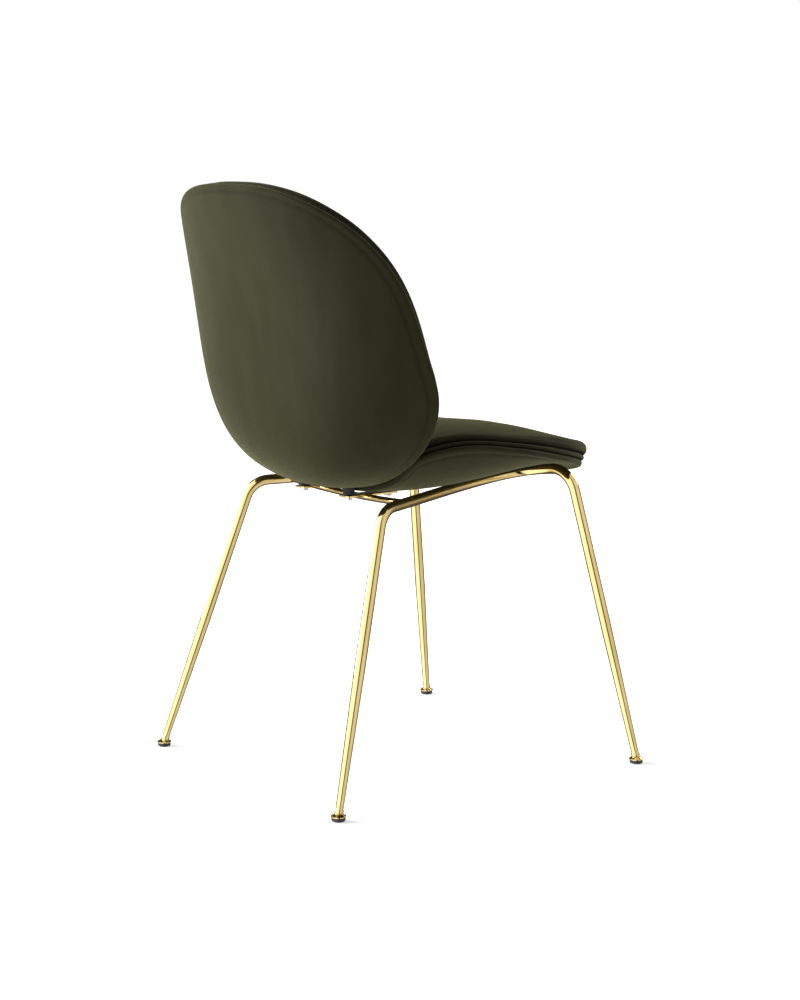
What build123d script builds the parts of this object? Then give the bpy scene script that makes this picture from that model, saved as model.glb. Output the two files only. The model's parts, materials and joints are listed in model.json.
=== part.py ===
from build123d import *
import os
from dataclasses import dataclass
from math import cos, hypot, pi, radians, sin, tan

# Dining chair: two upholstered shells (seat and back) on a bent-tube frame with four fixed feet.
# Millimetres, +Z up, the sitter faces -Y, X runs across the chair, origin on the floor.
# Moves the chair along Y so that its bounding box is centred on the origin.
CENTRE_Y = 10.9

# ---- frame tube -----------------------------------------------------------------------------
TUBE_D = 16.0
TUBE_WALL = 1.6
BEND_R = 37.0
LEG_END_D = 10.7
SWAGE_TOP_Z = 199.0
REAR_FOOT = (238.8, 263.5)
FRONT_FOOT = (264.3, -263.5)
REAR_KNEE = (172.0, 140.3)
FRONT_KNEE = (197.9, -181.9)
REAR_KNEE_TOP_Z = 420.9
FRONT_KNEE_TOP_Z = 455.0
# The side rail bows inwards: how hard it leaves each knee and at what angle in plan.
REAR_PULL = 218.2
REAR_BOW = radians(20.5)
REAR_CLIMB = 0.034
FRONT_PULL = 132.7
FRONT_BOW = radians(87.1)
FRONT_CLIMB = 0.105

# ---- cross bars and fixing plates -----------------------------------------------------------
BAR_D = 10.0
REAR_BAR_Y = 84.0
REAR_BAR_SAG = 4.5
FRONT_BAR_Y = -104.0
FRONT_BAR_SAG = -3.0
BAR_BEDDING = 0.6
PLATE_X = 58.0
PLATE_W = 26.0
PLATE_T = 2.5
FRONT_PLATE_L = 52.0
REAR_PLATE_L = 92.0
PLATE_HOLE_INSET = 11.0
PLATE_CORNER_R = 6.0
SPACER_D = 17.0
SPACER_CLEAR = 0.05
SPACER_SPARE = 8.0
FIXING_LOW_Z = 380.0
FIXING_HIGH_Z = 520.0

# ---- feet -----------------------------------------------------------------------------------
GLIDE_H = 5.5
GLIDE_D = 19.6
GLIDE_EDGE_R = 2.0
SPIGOT_D = 6.0
SPIGOT_H = 2.0
SPIGOT_CLEAR = 0.15
FLANGE_D = 21.6
FLANGE_T = 1.8
FLANGE_DISH_H = 2.6
FLANGE_BEVEL = 0.6
COLLAR_D = 12.8
COLLAR_Z = 13.2

# ---- fixings --------------------------------------------------------------------------------
BOLT_D = 6.0
BOLT_HEAD_D = 11.0
BOLT_HEAD_H = 3.2
BOLT_HOLE_CLEAR = 0.5
BOLT_HOLE_D = BOLT_D + BOLT_HOLE_CLEAR
BOLT_END_CLEAR = 1.0
WASHER_D = 14.0
WASHER_T = 1.2
INSERT_D = 9.0
INSERT_SPARE = 4.0
THREAD_CLEAR = 0.02
KEY_D = 4.0
KEY_DEPTH = 1.8

# ---- upholstery layers, measured inwards from the outer face ---------------------------------
COVER_T = 3.4
SHELL_T = 6.0
PAD_T = 8.4
CUSHION_T = 18.0
LAYER_GAP = 0.3
PAD_EDGE_R = 3.2
SEAT_CROWN = 15.0
BACK_CROWN = 12.0
SEAM_GAP = 1.2
CUSHION_GAP = 0.6

# ---- back shell: heights above a plane leaning back, in its own along / across directions ----
BACK_LEAN = radians(35.0)
BACK_REF_Y = 170.0
BACK_REF_Z = 620.0
BACK_PROFILE = (73.9, -116.1, -11.9, 83.2, -42.3)
BACK_PROFILE_STEP = 200.0
BACK_WRAP = (13.5, -50.1, 66.8)
BACK_WRAP_FLARE = (94.2,)
BACK_HALF_W = 280.0
BACK_WIDE_AT = -27.5
BACK_TOP_AT = 271.5
BACK_FOOT_AT = -194.1
BACK_TOP_FULLNESS = 2.44
BACK_FOOT_FULLNESS = 2.245

# ---- seat shell: heights over the floor, along Y and across X --------------------------------
SEAT_PROFILE = (424.2, -34.3, 61.4, 31.2, -57.9, 16.4, 24.4)
SEAT_PROFILE_STEP = 250.0
SEAT_WRAP = (4.6, 35.8, 26.2)
SEAT_WRAP_FLARE = (68.7, 55.6, -22.0)
SEAT_HALF_W = 251.4
SEAT_WIDE_AT = 38.7
SEAT_NOSE_AT = 294.7
SEAT_TAIL_AT = -175.0
SEAT_NOSE_FULLNESS = 2.0
SEAT_TAIL_FULLNESS = 2.65

# ---- how finely the dished surfaces are laid out, and how far cutting blocks reach ------------
GRID = 15
RIM_POINTS = 28
GRID_MARGIN = 28.0
REACH = 260.0
SLOPE_STEP = 0.5
LONG_EDGE = 100.0
HALVINGS = 40
# The back's lower rim, where the seat meets it, as a share of half a turn round the rim.
SEAM_START = 0.62
SEAM_END = 1.38
SEAM_POINTS = 13


@dataclass(frozen=True)
class Dish:
    """A dished surface: a height over a flat plane, with an egg-shaped rim."""

    origin: Vector
    across: Vector
    along: Vector
    outward: Vector
    profile: tuple
    step: float
    wrap: tuple
    flare: tuple
    half_width: float
    wide_at: float
    far_at: float
    near_at: float
    far_fullness: float
    near_fullness: float

    def height(self, x, s):
        k = s / self.step
        u = x / self.half_width
        middle = sum(term * k**power for power, term in enumerate(self.profile))
        wrap = sum(term * k**power for power, term in enumerate(self.wrap))
        flare = sum(term * k**power for power, term in enumerate(self.flare))
        return middle - wrap * u**2 - flare * u**4

    def normal(self, x, s):
        d = SLOPE_STEP
        hx = (self.height(x + d, s) - self.height(x - d, s)) / (2 * d)
        hs = (self.height(x, s + d) - self.height(x, s - d)) / (2 * d)
        n = self.outward - self.across * hx - self.along * hs
        return n.normalized()

    def point(self, x, s, depth=0.0):
        p = self.origin + self.across * x + self.along * s + self.outward * self.height(x, s)
        return p - self.normal(x, s) * depth

    def rim(self, angle, grow=0.0):
        c = cos(angle)
        w = sin(angle)
        fullness = self.far_fullness if c > 0 else self.near_fullness
        reach = self.far_at - self.wide_at if c > 0 else self.wide_at - self.near_at
        x = (self.half_width + grow) * (1 if w > 0 else -1) * abs(w) ** (2 / fullness)
        s = self.wide_at + (reach + grow) * (1 if c > 0 else -1) * abs(c) ** (2 / fullness)
        return x, s

    def crown(self, x, s):
        """A smooth hump: 1 in the middle of the dish, 0 near its rim and beyond."""
        half_length = (self.far_at - self.near_at) / 2
        c = s - (self.far_at + self.near_at) / 2
        return max(0.0, 1 - (x / self.half_width) ** 2 - (c / half_length) ** 2) ** 2


BACK = Dish(
    origin=Vector(0, BACK_REF_Y, BACK_REF_Z),
    across=Vector(1, 0, 0),
    along=Vector(0, sin(BACK_LEAN), cos(BACK_LEAN)),
    outward=Vector(0, cos(BACK_LEAN), -sin(BACK_LEAN)),
    profile=BACK_PROFILE,
    step=BACK_PROFILE_STEP,
    wrap=BACK_WRAP,
    flare=BACK_WRAP_FLARE,
    half_width=BACK_HALF_W,
    wide_at=BACK_WIDE_AT,
    far_at=BACK_TOP_AT,
    near_at=BACK_FOOT_AT,
    far_fullness=BACK_TOP_FULLNESS,
    near_fullness=BACK_FOOT_FULLNESS,
)

# The seat's "along" direction runs forwards (-Y), so its profile terms of odd power change sign.
SEAT = Dish(
    origin=Vector(0, 0, 0),
    across=Vector(1, 0, 0),
    along=Vector(0, -1, 0),
    outward=Vector(0, 0, -1),
    profile=tuple(-term * (-1) ** power for power, term in enumerate(SEAT_PROFILE)),
    step=SEAT_PROFILE_STEP,
    wrap=tuple(term * (-1) ** power for power, term in enumerate(SEAT_WRAP)),
    flare=tuple(term * (-1) ** power for power, term in enumerate(SEAT_WRAP_FLARE)),
    half_width=SEAT_HALF_W,
    wide_at=SEAT_WIDE_AT,
    far_at=SEAT_NOSE_AT,
    near_at=SEAT_TAIL_AT,
    far_fullness=SEAT_NOSE_FULLNESS,
    near_fullness=SEAT_TAIL_FULLNESS,
)

PAD_DEPTH = COVER_T + SHELL_T
CUSHION_DEPTH = PAD_DEPTH + LAYER_GAP + PAD_T
TOP_DEPTH = CUSHION_DEPTH + LAYER_GAP + CUSHION_T


# ---- dished layers ---------------------------------------------------------------------------
def dish_face(dish, depth, crown=0.0):
    """The whole dish surface, moved inwards by depth plus a crown that fades out at the rim."""
    half = dish.half_width + GRID_MARGIN
    low = dish.near_at - GRID_MARGIN
    high = dish.far_at + GRID_MARGIN
    rows = []
    for i in range(GRID):
        x = -half + 2 * half * i / (GRID - 1)
        row = []
        for j in range(GRID):
            s = low + (high - low) * j / (GRID - 1)
            lift = crown * dish.crown(x, s)
            row.append(dish.point(x, s, depth + lift))
        rows.append(row)
    return Face.make_surface_from_array_of_points(rows)


def rim_prism(dish, depth, grow=0.0):
    """A block through the dish whose wall follows the rim at the given depth."""
    flat = []
    for i in range(RIM_POINTS):
        x, s = dish.rim(2 * pi * (i + 0.5) / RIM_POINTS, grow)
        p = dish.point(x, s, depth) - dish.origin
        flat.append(dish.origin + dish.across * p.dot(dish.across) + dish.along * p.dot(dish.along))
    outline = make_face(Spline(flat, periodic=True))
    start = outline.moved(Location(dish.outward * -3 * REACH))
    return extrude(start, amount=6 * REACH, dir=dish.outward)


def dish_layer(dish, depth, thickness, grow=0.0):
    """A layer of even thickness with its edge square to the dish, cut to the rim."""
    cut = dish_face(dish, depth).intersect(rim_prism(dish, depth, grow))
    face = cut[0] if isinstance(cut, (list, ShapeList)) else cut.faces()[0]
    both_ways = (Solid.thicken(face, thickness), Solid.thicken(face, -thickness))
    return min(both_ways, key=lambda solid: solid.center().dot(dish.outward))


def inside_of(dish, depth, crown=0.0):
    """Everything on the outer side of the dish surface at the given depth."""
    return extrude(dish_face(dish, depth, crown), amount=REACH, dir=dish.outward)


def round_edges(solid, radius, at_least):
    long_edges = [e for e in solid.edges() if e.length > at_least]
    return solid.fillet(radius, long_edges)


def seam_wall(gap):
    """The space in front of the back shell's lower rim, seen in plan."""
    ends = []
    for i in range(SEAM_POINTS):
        angle = pi * (SEAM_START + (SEAM_END - SEAM_START) * i / (SEAM_POINTS - 1))
        x, s = BACK.rim(angle)
        p = BACK.point(x, s)
        ends.append((p.X, p.Y - gap))
    first = ends[0]
    last = ends[-1]
    edge = Spline([Vector(x, y, 0) for x, y in ends])
    corners = [
        Vector(last[0], last[1], 0),
        Vector(-2 * REACH, last[1], 0),
        Vector(-2 * REACH, -2 * REACH, 0),
        Vector(2 * REACH, -2 * REACH, 0),
        Vector(2 * REACH, first[1], 0),
        Vector(first[0], first[1], 0),
    ]
    wire = Wire([edge] + [Line(a, b) for a, b in zip(corners, corners[1:])])
    return extrude(make_face(wire), amount=4 * REACH, dir=Vector(0, 0, 1))


def seat_room():
    """The space the seat's layers take up, with the gap the back cushion keeps from them."""
    block = rim_prism(SEAT, 0, CUSHION_GAP) & seam_wall(SEAM_GAP - CUSHION_GAP)
    return block & inside_of(SEAT, TOP_DEPTH + CUSHION_GAP, SEAT_CROWN)


def biggest(shape):
    return max(shape.solids(), key=lambda solid: solid.volume)


def seat_underside_cover(wall):
    return dish_layer(SEAT, 0, COVER_T) & wall


def seat_shell(wall):
    return dish_layer(SEAT, COVER_T, SHELL_T) & wall


def seat_edge_pad(wall):
    layer = round_edges(dish_layer(SEAT, PAD_DEPTH + LAYER_GAP, PAD_T), PAD_EDGE_R, LONG_EDGE)
    return layer & wall


def seat_cushion(wall):
    layer = dish_layer(SEAT, CUSHION_DEPTH + LAYER_GAP, CUSHION_T + SEAT_CROWN)
    return biggest(layer & inside_of(SEAT, TOP_DEPTH, SEAT_CROWN)) & wall


def back_outer_cover():
    return dish_layer(BACK, 0, COVER_T)


def back_shell():
    return dish_layer(BACK, COVER_T, SHELL_T)


def back_edge_pad(room):
    layer = round_edges(dish_layer(BACK, PAD_DEPTH + LAYER_GAP, PAD_T), PAD_EDGE_R, LONG_EDGE)
    return layer - room


def back_cushion(room):
    layer = dish_layer(BACK, CUSHION_DEPTH + LAYER_GAP, CUSHION_T + BACK_CROWN)
    return biggest(layer & inside_of(BACK, TOP_DEPTH, BACK_CROWN)) - room


# ---- frame -----------------------------------------------------------------------------------
def knee_points(side):
    rear = Vector(side * REAR_KNEE[0], REAR_KNEE[1], REAR_KNEE_TOP_Z - TUBE_D / 2)
    front = Vector(side * FRONT_KNEE[0], FRONT_KNEE[1], FRONT_KNEE_TOP_Z - TUBE_D / 2)
    return rear, front


def rail_directions(side):
    rear = Vector(-side * sin(REAR_BOW), -cos(REAR_BOW), REAR_CLIMB).normalized()
    front = Vector(-side * sin(FRONT_BOW), cos(FRONT_BOW), -FRONT_CLIMB).normalized()
    return rear, front


def foot_point(side, spot):
    return Vector(side * spot[0], spot[1], GLIDE_H + FLANGE_T)


def bend(knee, foot, rail_direction):
    """Where the leg and the rail leave the bend, and a point half way round it."""
    leg_direction = (foot - knee).normalized()
    inner = leg_direction.get_angle(rail_direction) * pi / 180
    run = BEND_R / tan(inner / 2)
    leg_end = knee + leg_direction * run
    rail_end = knee + rail_direction * run
    bisector = (leg_direction + rail_direction).normalized()
    middle = knee + bisector * (hypot(BEND_R, run) - BEND_R)
    return leg_end, middle, rail_end, run


def swage_point(leg_end, foot):
    part = (leg_end.Z - SWAGE_TOP_Z) / (leg_end.Z - foot.Z)
    return leg_end + (foot - leg_end) * part


def rail_curve(side):
    knees = knee_points(side)
    spots = (REAR_FOOT, FRONT_FOOT)
    bends = []
    for knee, spot, direction in zip(knees, spots, rail_directions(side)):
        bends.append(bend(knee, foot_point(side, spot), direction))
    rear, front = bends
    rear_control = rear[2] + rail_directions(side)[0] * (REAR_PULL - rear[3])
    front_control = front[2] + rail_directions(side)[1] * (FRONT_PULL - front[3])
    return rear, front, Bezier(rear[2], rear_control, front_control, front[2])


def tube_run(side, diameter):
    rear, front, rail = rail_curve(side)
    rear_swage = swage_point(rear[0], foot_point(side, REAR_FOOT))
    front_swage = swage_point(front[0], foot_point(side, FRONT_FOOT))
    path = Wire(
        [
            Line(rear_swage, rear[0]),
            ThreePointArc(rear[0], rear[1], rear[2]),
            rail,
            ThreePointArc(front[2], front[1], front[0]),
            Line(front[0], front_swage),
        ]
    )
    start = Plane(origin=rear_swage, z_dir=rear[0] - rear_swage)
    return sweep(start * Circle(diameter / 2), path=path)


def leg_cone(side, spot, knee_end, inset):
    foot = foot_point(side, spot)
    top = swage_point(knee_end, foot)
    length = (top - foot).length
    base = Plane(origin=foot, z_dir=top - foot)
    low = LEG_END_D / 2 - inset
    high = TUBE_D / 2 - inset
    return base * Solid.make_cone(low, high, length)


def side_tube_outer(side):
    rear, front, _ = rail_curve(side)
    tube = tube_run(side, TUBE_D)
    for spot, knee_bend in ((REAR_FOOT, rear), (FRONT_FOOT, front)):
        tube = tube + leg_cone(side, spot, knee_bend[0], 0)
    return tube


def side_tube_bore(side):
    rear, front, _ = rail_curve(side)
    bore = tube_run(side, TUBE_D - 2 * TUBE_WALL)
    for spot, knee_bend in ((REAR_FOOT, rear), (FRONT_FOOT, front)):
        bore = bore + leg_cone(side, spot, knee_bend[0], TUBE_WALL)
    return bore


def rail_point_at(side, y):
    """The side rail's centre where it passes the given Y."""
    rail = rail_curve(side)[2]
    low = 0.0
    high = 1.0
    for _ in range(HALVINGS):
        middle = (low + high) / 2
        if rail.position_at(middle).Y > y:
            low = middle
        else:
            high = middle
    return rail.position_at((low + high) / 2)


def bar_arc(y, sag):
    right = rail_point_at(-1, y)
    left = rail_point_at(1, y)
    middle = (left + right) / 2 - Vector(0, 0, sag)
    return ThreePointArc(right, middle, left)


def cross_bar(y, sag, outers):
    arc = bar_arc(y, sag)
    start = Plane(origin=arc.position_at(0), z_dir=arc.tangent_at(0))
    bar = sweep(start * Circle(BAR_D / 2), path=Wire([arc]))
    for outer in outers:
        bar = bar - outer
    return biggest(bar)


def bar_height(y, sag, x):
    """Height of the cross bar's centre at the given X."""
    arc = bar_arc(y, sag)
    low = 0.0
    high = 1.0
    for _ in range(HALVINGS):
        middle = (low + high) / 2
        if arc.position_at(middle).X < x:
            low = middle
        else:
            high = middle
    return arc.position_at(low).Z


# ---- fixing plates, bolts, spacers -----------------------------------------------------------
@dataclass(frozen=True)
class Fixing:
    """One bolt place: where it is, the plate top there and the dish it bolts to."""

    x: float
    y: float
    plate_top: float
    dish: Dish

    def dish_z(self, depth):
        """Height of a face of the dish above this place."""
        low = Vector(self.x, self.y, FIXING_LOW_Z)
        line = Edge.make_line(low, Vector(self.x, self.y, FIXING_HIGH_Z))
        hit = dish_face(self.dish, depth).intersect(line)[0]
        return hit.Z if isinstance(hit, Vector) else hit.center().Z

    def post(self, low, high, diameter):
        return Location((self.x, self.y, low)) * Solid.make_cylinder(diameter / 2, high - low)


def plate_top(y, sag):
    return bar_height(y, sag, PLATE_X) + BAR_D / 2 - BAR_BEDDING + PLATE_T


def fixings():
    places = []
    front_top = plate_top(FRONT_BAR_Y, FRONT_BAR_SAG)
    rear_top = plate_top(REAR_BAR_Y, REAR_BAR_SAG)
    front_inset = FRONT_PLATE_L / 2 - PLATE_HOLE_INSET
    rear_inset = REAR_PLATE_L / 2 - PLATE_HOLE_INSET
    for x in (-PLATE_X, PLATE_X):
        places.append(Fixing(x, FRONT_BAR_Y - front_inset, front_top, SEAT))
        places.append(Fixing(x, FRONT_BAR_Y + front_inset, front_top, SEAT))
        places.append(Fixing(x, REAR_BAR_Y - rear_inset, rear_top, SEAT))
        places.append(Fixing(x, REAR_BAR_Y + rear_inset, rear_top, BACK))
    return places


def fixing_plate(x, y, length, top, bar):
    blank = Box(PLATE_W, length, PLATE_T, align=(Align.CENTER, Align.CENTER, Align.MAX))
    blank = fillet(blank.edges().filter_by(Axis.Z), PLATE_CORNER_R)
    plate = Location((x, y, top)) * blank
    inset = length / 2 - PLATE_HOLE_INSET
    for hole_y in (y - inset, y + inset):
        hole = Fixing(x, hole_y, top, SEAT).post(top - 2 * PLATE_T, top + PLATE_T, BOLT_HOLE_D)
        plate = plate - hole
    return biggest(plate - bar)


def bolt(place):
    head_top = place.plate_top - PLATE_T - WASHER_T
    end = place.dish_z(PAD_DEPTH) - BOLT_END_CLEAR
    body = place.post(head_top - BOLT_HEAD_H, head_top, BOLT_HEAD_D) + place.post(head_top, end, BOLT_D)
    key = extrude(RegularPolygon(KEY_D / 2, 6), amount=KEY_DEPTH)
    return body - Location((place.x, place.y, head_top - BOLT_HEAD_H)) * key


def washer(place):
    high = place.plate_top - PLATE_T
    return place.post(high - WASHER_T, high, WASHER_D) - place.post(high - 2 * WASHER_T, high, BOLT_HOLE_D)


def spacer(place, skin):
    """A ring from the plate up to the shell, its top cut to the shell's outer face."""
    high = place.dish_z(0) + SPACER_SPARE
    ring = place.post(place.plate_top, high, SPACER_D) - place.post(place.plate_top, high, BOLT_HOLE_D)
    return min((ring - skin).solids(), key=lambda solid: solid.center().Z)


def insert(place):
    low = place.dish_z(COVER_T) - INSERT_SPARE
    high = place.dish_z(PAD_DEPTH) + INSERT_SPARE
    return place.post(low, high, INSERT_D) - place.post(low, high, BOLT_D + 2 * THREAD_CLEAR)


def drill(layer, places, diameter):
    for place in places:
        layer = layer - place.post(FIXING_LOW_Z, place.dish_z(PAD_DEPTH) + INSERT_SPARE, diameter)
    return layer


# ---- feet ------------------------------------------------------------------------------------
def turned(points):
    outline = Polyline([(r, 0, z) for r, z in points] + [(points[0][0], 0, points[0][1])])
    return revolve(make_face(outline), Axis.Z)


def glide(x, y):
    radius = GLIDE_D / 2
    body = Solid.make_cylinder(radius, GLIDE_H)
    body = body.fillet(GLIDE_EDGE_R, [body.edges().filter_by(GeomType.CIRCLE).sort_by(Axis.Z)[0]])
    spigot = Location((0, 0, GLIDE_H)) * Solid.make_cylinder(SPIGOT_D / 2, SPIGOT_H)
    return Location((x, y, 0)) * (body + spigot)


def foot_flange(side, spot, knee_end):
    """A dished disc under the leg with a rounded collar round the tube's end."""
    disc_top = GLIDE_H + FLANGE_T
    points = [
        (0, GLIDE_H),
        (FLANGE_D / 2 - FLANGE_BEVEL, GLIDE_H),
        (FLANGE_D / 2, GLIDE_H + FLANGE_BEVEL),
        (FLANGE_D / 2, disc_top),
        (COLLAR_D / 2, disc_top + FLANGE_DISH_H),
        (0, disc_top + FLANGE_DISH_H),
    ]
    disc = Location((spot[0] * side, spot[1], 0)) * turned(points)
    foot = foot_point(side, spot)
    rise = (knee_end - foot).normalized()
    collar = Location(foot + rise * (COLLAR_Z - foot.Z)) * Solid.make_sphere(COLLAR_D / 2, angle1=-90)
    pocket_h = SPIGOT_H + SPIGOT_CLEAR
    pocket = Solid.make_cylinder(SPIGOT_D / 2 + SPIGOT_CLEAR, pocket_h)
    return disc + collar - Location((spot[0] * side, spot[1], GLIDE_H)) * pocket


def export(node, shape):
    shape = shape.moved(Location((0, CENTRE_Y, 0)))
    shape.label = node
    export_step(shape, os.path.join("parts", node + ".step"))


def export_group(node, solids):
    export(node, Compound(children=[solid for shape in solids for solid in shape.solids()]))


def make_upholstery(places):
    wall = seam_wall(SEAM_GAP)
    room = seat_room()
    seat_places = [place for place in places if place.dish is SEAT]
    back_places = [place for place in places if place.dish is BACK]
    export("seat_underside_cover", drill(seat_underside_cover(wall), seat_places, BOLT_HOLE_D))
    export("seat_shell", drill(seat_shell(wall), seat_places, INSERT_D))
    export("seat_edge_pad", seat_edge_pad(wall))
    export("seat_cushion", seat_cushion(wall))
    export("back_outer_cover", drill(back_outer_cover(), back_places, BOLT_HOLE_D))
    export("back_shell", drill(back_shell(), back_places, INSERT_D))
    export("back_edge_pad", back_edge_pad(room))
    export("back_cushion", back_cushion(room))


def make_fixings(places):
    skins = {SEAT: inside_out(SEAT), BACK: inside_out(BACK)}
    export_group("base_bolts", [bolt(place) for place in places])
    export_group("base_washers", [washer(place) for place in places])
    export_group("base_spacers", [spacer(place, skins[place.dish]) for place in places])
    seat_inserts = [insert(place) & shell_band(SEAT) for place in places if place.dish is SEAT]
    back_inserts = [insert(place) & shell_band(BACK) for place in places if place.dish is BACK]
    export_group("seat_inserts", seat_inserts)
    export_group("back_inserts", back_inserts)


def inside_out(dish):
    """Everything on the sitter's side of the dish's outer face."""
    return extrude(dish_face(dish, -SPACER_CLEAR), amount=REACH, dir=dish.outward * -1)


def shell_band(dish):
    """The thickness of the moulded shell over the whole dish."""
    outer = extrude(dish_face(dish, COVER_T), amount=REACH, dir=dish.outward * -1)
    return outer & inside_of(dish, PAD_DEPTH)


def make_frame():
    outers = [side_tube_outer(1), side_tube_outer(-1)]
    for side, outer, name in zip((1, -1), outers, ("left", "right")):
        rear, front, _ = rail_curve(side)
        tube = outer - side_tube_bore(side)
        for spot, leg_bend, end in ((REAR_FOOT, rear, "rear"), (FRONT_FOOT, front, "front")):
            flange = foot_flange(side, spot, leg_bend[0])
            tube = biggest(tube - foot_blank(side, spot, leg_bend[0]))
            export(f"foot_flange_{end}_{name}", flange)
            export(f"glide_{end}_{name}", glide(side * spot[0], spot[1]))
        export(f"side_tube_{name}", tube)
    for y, sag, length, end in (
        (REAR_BAR_Y, REAR_BAR_SAG, REAR_PLATE_L, "rear"),
        (FRONT_BAR_Y, FRONT_BAR_SAG, FRONT_PLATE_L, "front"),
    ):
        bar = cross_bar(y, sag, outers)
        export(f"cross_bar_{end}", bar)
        for side, name in ((1, "left"), (-1, "right")):
            top = plate_top(y, sag)
            export(f"fixing_plate_{end}_{name}", fixing_plate(side * PLATE_X, y, length, top, bar))


def foot_blank(side, spot, knee_end):
    """The flange without its pocket, and the floor space under it."""
    blank = foot_flange(side, spot, knee_end)
    below = Location((spot[0] * side, spot[1], 0)) * Solid.make_cylinder(SPIGOT_D, COLLAR_Z)
    return blank + below


def main():
    os.makedirs("parts", exist_ok=True)
    places = fixings()
    make_frame()
    make_fixings(places)
    make_upholstery(places)


if __name__ == "__main__":
    main()
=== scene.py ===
"""Looks of an upholstered shell dining chair on bent brass-coloured legs.

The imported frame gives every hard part. This script adds the velvet upholstery, the finishes,
the floor, the light and the camera. Lengths are metres, +Z is up and the sitter faces -Y.
"""

import json
import logging
import math
from dataclasses import dataclass, field, replace
from enum import Enum

import bmesh
import bpy
import numpy as np
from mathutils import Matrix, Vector, noise

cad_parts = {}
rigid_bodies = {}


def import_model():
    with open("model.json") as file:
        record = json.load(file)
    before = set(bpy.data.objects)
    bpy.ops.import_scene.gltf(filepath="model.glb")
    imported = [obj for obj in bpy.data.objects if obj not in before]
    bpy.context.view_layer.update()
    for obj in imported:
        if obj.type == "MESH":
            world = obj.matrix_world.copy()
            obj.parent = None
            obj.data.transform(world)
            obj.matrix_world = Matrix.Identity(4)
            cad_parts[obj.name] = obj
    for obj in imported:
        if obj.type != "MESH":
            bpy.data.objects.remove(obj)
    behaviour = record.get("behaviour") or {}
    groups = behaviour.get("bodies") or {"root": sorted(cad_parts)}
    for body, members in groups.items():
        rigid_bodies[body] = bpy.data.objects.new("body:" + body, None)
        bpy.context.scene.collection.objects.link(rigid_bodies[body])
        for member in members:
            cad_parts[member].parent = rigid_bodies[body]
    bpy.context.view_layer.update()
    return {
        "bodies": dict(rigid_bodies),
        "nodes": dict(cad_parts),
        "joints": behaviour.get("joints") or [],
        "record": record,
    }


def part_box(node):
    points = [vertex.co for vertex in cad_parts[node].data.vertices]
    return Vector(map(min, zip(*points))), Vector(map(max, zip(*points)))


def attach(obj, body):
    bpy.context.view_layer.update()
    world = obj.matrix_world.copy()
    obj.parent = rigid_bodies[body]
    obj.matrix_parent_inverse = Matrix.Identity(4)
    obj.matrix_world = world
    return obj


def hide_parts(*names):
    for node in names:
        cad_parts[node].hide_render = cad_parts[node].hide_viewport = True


LOG = logging.getLogger("chair")
BODY = "root"
# Vertex attribute for painted shade: how dark the velvet is painted in the creases and grooves
# between layers.
CREASE_SHADE = "crease_shade"


class Ply(Enum):
    """The three layers that show at the edge of each shell, from the outside inwards."""

    WRAP = "wrap"
    EDGE_PAD = "edge_pad"
    CUSHION = "cushion"


class Side(Enum):
    """Which shell a layer belongs to."""

    SEAT = "seat"
    BACK = "back"


class Effect(Enum):
    """Shader node groups that several finishes share."""

    PILE = "velvet_pile"
    MOTTLE = "surface_mottle"
    FINE_LINES = "fine_lines"
    EDGE_WEAR = "edge_wear"


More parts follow.
